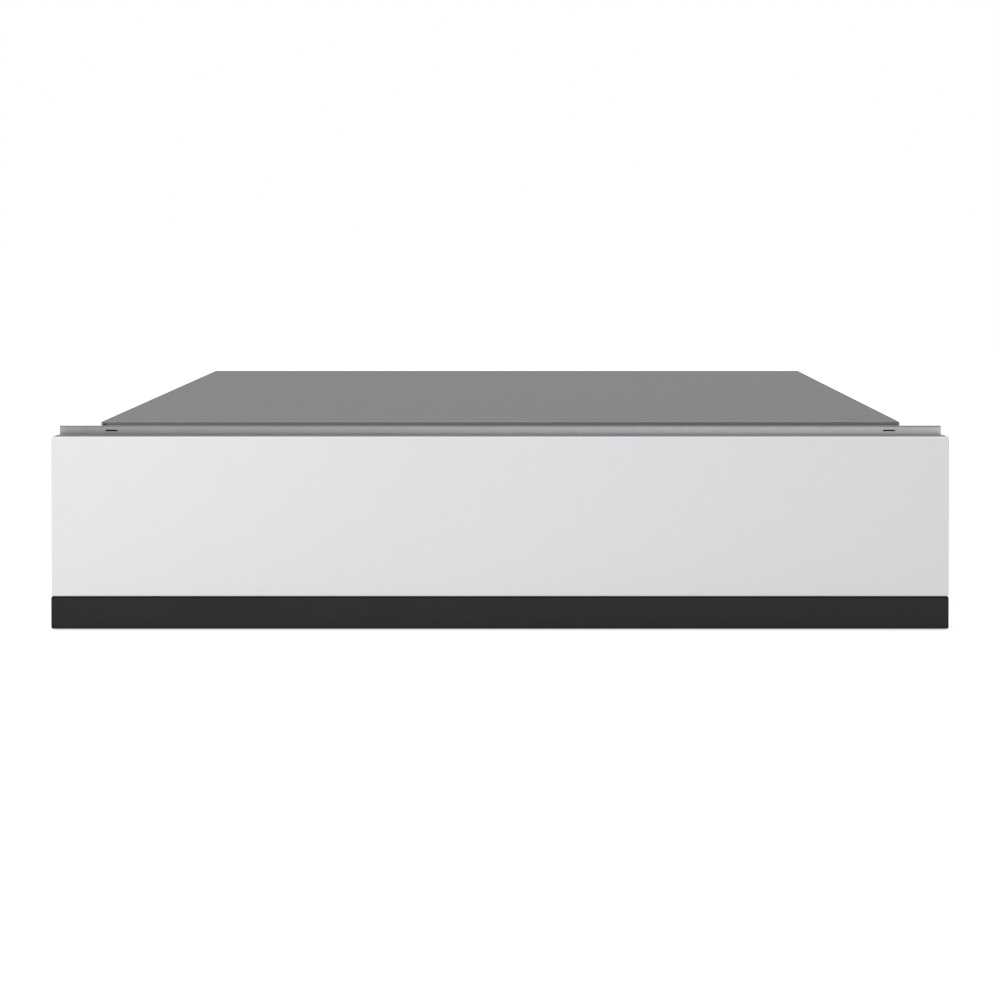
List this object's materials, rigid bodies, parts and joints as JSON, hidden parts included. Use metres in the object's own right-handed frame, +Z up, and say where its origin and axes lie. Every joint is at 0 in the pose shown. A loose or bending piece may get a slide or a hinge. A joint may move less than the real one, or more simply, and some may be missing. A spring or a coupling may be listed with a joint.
{
  "type": "vacuum sealing drawer",
  "caption": "Built-in vacuum sealing drawer: white glass front with dark lower strip on a grey steel housing, full-extension runners, vacuum chamber under a hinged glass lid.",
  "frame": {"origin": "middle of the appliance's box on the floor it stands on", "axes": "+X to the right as seen from the front, +Y from the front to the back, +Z up"},
  "size_m": [0.595, 0.55, 0.136],
  "materials": {
    "white_glass": "back-painted, polished",
    "black_trim": "gloss",
    "carrier_steel": "satin",
    "housing_steel": "zinc coated, satin",
    "frame_steel": "satin",
    "runner_steel": "zinc plated",
    "zinc_screws": "zinc plated",
    "black_rubber": "matt",
    "black_plastic": "fine grain",
    "grey_plastic": "fine grain",
    "spring_steel": "oiled",
    "stainless": "brushed",
    "pan_steel": "zinc coated",
    "silicone": "matt",
    "lid_glass": "clear, polished",
    "aluminium": "satin",
    "brass": "satin",
    "heater_band": "tarnished",
    "ptfe_tape": "woven, coated",
    "control_glass": "gloss",
    "circuit_board": "solder mask",
    "cast_aluminium": "cast",
    "motor_paint": "satin",
    "copper": "wound",
    "dark_steel": "ground",
    "hose_rubber": "matt",
    "filter_paper": "matt"
  },
  "bodies": {
    "housing": {"front_frame": "frame_steel", "bumper_pads": "black_rubber", "housing_base": "housing_steel", "side_panel_left": "housing_steel", "side_panel_right": "housing_steel", "rear_panel": "housing_steel", "top_cover": "housing_steel", "housing_screws": "zinc_screws", "feet": "black_rubber", "mains_inlet": "black_plastic", "runner_outer_left": "runner_steel", "runner_outer_right": "runner_steel", "runner_rivets": "zinc_screws", "latch_body": "grey_plastic", "latch_spring": "spring_steel"},
    "drawer": {"front_glass": "white_glass", "design_strip": "black_trim", "front_carrier": "carrier_steel", "strip_clips": "black_plastic", "runner_inner_left": "runner_steel", "runner_inner_right": "runner_steel", "drawer_rivets": "zinc_screws", "drawer_pan": "pan_steel", "deck_plate": "stainless", "drawer_screws": "zinc_screws", "vacuum_chamber": "stainless", "chamber_gasket": "silicone", "suction_port": "aluminium", "lift_sleeves": "brass", "hinge_mounts": "stainless", "hinge_pins": "zinc_screws", "lid_springs": "spring_steel", "control_panel": "control_glass", "control_board": "circuit_board", "pump_housing": "cast_aluminium", "motor_case": "motor_paint", "motor_stator": "copper", "pump_saddle": "dark_steel", "valve_block": "grey_plastic", "exhaust_filter": "filter_paper", "vacuum_hoses": "hose_rubber", "power_board": "circuit_board", "transformer": "dark_steel", "fan_frame": "black_plastic"},
    "runner_middle_left": {"runner_middle_left": "runner_steel"},
    "runner_middle_right": {"runner_middle_right": "runner_steel"},
    "outer_cages": {"ball_cages_outer": "spring_steel"},
    "inner_cages": {"ball_cages_inner": "spring_steel"},
    "lid": {"lid_glass": "lid_glass", "lid_brackets": "stainless", "lid_screws": "zinc_screws", "lid_grip": "stainless", "counter_bar_holder": "aluminium", "counter_bar": "silicone"},
    "sealing_bar": {"sealing_bar": "aluminium", "heating_band": "heater_band", "band_tape": "ptfe_tape"},
    "pump_shaft": {"motor_rotor": "dark_steel"},
    "fan_rotor": {"fan_rotor": "black_plastic"},
    "latch_plunger": {"latch_plunger": "grey_plastic"}
  },
  "joints": [
    {"name": "drawer_slide", "type": "slide", "parent": "housing", "child": "drawer", "axis": [0, -1, 0], "range_m": [-0.0025, 0.45]},
    {"name": "runner_middle_left_slide", "type": "slide", "parent": "housing", "child": "runner_middle_left", "axis": [0, -1, 0], "range_m": [-0.00125, 0.225]},
    {"name": "runner_middle_right_slide", "type": "slide", "parent": "housing", "child": "runner_middle_right", "axis": [0, -1, 0], "range_m": [-0.00125, 0.225]},
    {"name": "outer_cages_slide", "type": "slide", "parent": "housing", "child": "outer_cages", "axis": [0, -1, 0], "range_m": [-0.00063, 0.1125]},
    {"name": "inner_cages_slide", "type": "slide", "parent": "housing", "child": "inner_cages", "axis": [0, -1, 0], "range_m": [-0.00187, 0.3375]},
    {"name": "lid_hinge", "type": "hinge", "parent": "drawer", "child": "lid", "pos_m": [0, 0.063, 0.1], "axis": [-1, 0, 0], "range_deg": [-0.12, 60]},
    {"name": "sealing_bar_lift", "type": "slide", "parent": "drawer", "child": "sealing_bar", "axis": [0, 0, 1], "range_m": [0, 0.006]},
    {"name": "pump_spin", "type": "hinge", "parent": "drawer", "child": "pump_shaft", "pos_m": [0, 0.155, 0.052], "axis": [1, 0, 0], "continuous": true},
    {"name": "fan_spin", "type": "hinge", "parent": "drawer", "child": "fan_rotor", "pos_m": [0.2008, 0.217, 0.045], "axis": [0, 1, 0], "continuous": true},
    {"name": "latch_press", "type": "slide", "parent": "housing", "child": "latch_plunger", "axis": [0, 1, 0], "range_m": [0, 0.003], "stiffness_N_per_m": 400, "springref_m": -0.004}
  ],
  "couplings": [
    {"joint": "runner_middle_left_slide", "follows": "drawer_slide", "ratio": 0.5},
    {"joint": "runner_middle_right_slide", "follows": "drawer_slide", "ratio": 0.5},
    {"joint": "outer_cages_slide", "follows": "drawer_slide", "ratio": 0.25},
    {"joint": "inner_cages_slide", "follows": "drawer_slide", "ratio": 0.75},
    {"joint": "lid_hinge", "follows": "drawer_slide", "rad_per_m": 0.75}
  ]
}
